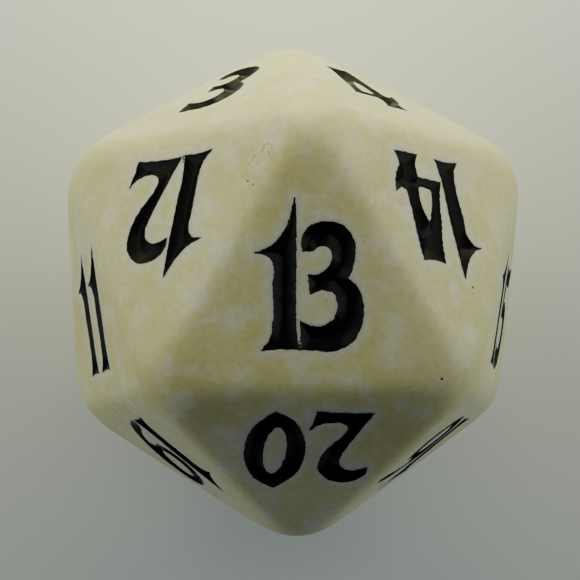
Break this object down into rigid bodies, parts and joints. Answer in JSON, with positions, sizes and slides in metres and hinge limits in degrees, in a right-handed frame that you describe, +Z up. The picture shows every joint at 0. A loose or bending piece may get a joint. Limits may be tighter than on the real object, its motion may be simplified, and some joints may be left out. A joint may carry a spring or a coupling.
{
  "type": "polyhedral die",
  "caption": "Twenty-sided countdown die in mottled cream plastic, with engraved numerals filled in black, resting on one face.",
  "frame": {"origin": "centre of the face the die rests on, which is the face engraved with the 8, at the height of the table", "axes": "+Z up through the face engraved with the 13; +Y towards the corner that the top of the 13 points to; +X to the right of the 13 as it is read"},
  "size_m": [0.0232, 0.0256, 0.022],
  "materials": {
    "mottled_plastic": "cream and white mottled, semi-gloss, slightly translucent, lightly scratched",
    "numeral_paint": "glossy black paint in the engraving"
  },
  "bodies": {
    "root": {"die_body": "mottled_plastic", "inlay_01": "numeral_paint", "inlay_02": "numeral_paint", "inlay_03": "numeral_paint", "inlay_04": "numeral_paint", "inlay_05": "numeral_paint", "inlay_06": "numeral_paint", "inlay_06_dot": "numeral_paint", "inlay_07": "numeral_paint", "inlay_08": "numeral_paint", "inlay_09": "numeral_paint", "inlay_09_dot": "numeral_paint", "inlay_10_left": "numeral_paint", "inlay_10_right": "numeral_paint", "inlay_11_left": "numeral_paint", "inlay_11_right": "numeral_paint", "inlay_12_left": "numeral_paint", "inlay_12_right": "numeral_paint", "inlay_13_left": "numeral_paint", "inlay_13_right": "numeral_paint", "inlay_14_left": "numeral_paint", "inlay_14_right": "numeral_paint", "inlay_15_left": "numeral_paint", "inlay_15_right": "numeral_paint", "inlay_16_left": "numeral_paint", "inlay_16_right": "numeral_paint", "inlay_17_left": "numeral_paint", "inlay_17_right": "numeral_paint", "inlay_18_left": "numeral_paint", "inlay_18_right": "numeral_paint", "inlay_19_left": "numeral_paint", "inlay_19_right": "numeral_paint", "inlay_20_left": "numeral_paint", "inlay_20_right": "numeral_paint"}
  },
  "joints": []
}
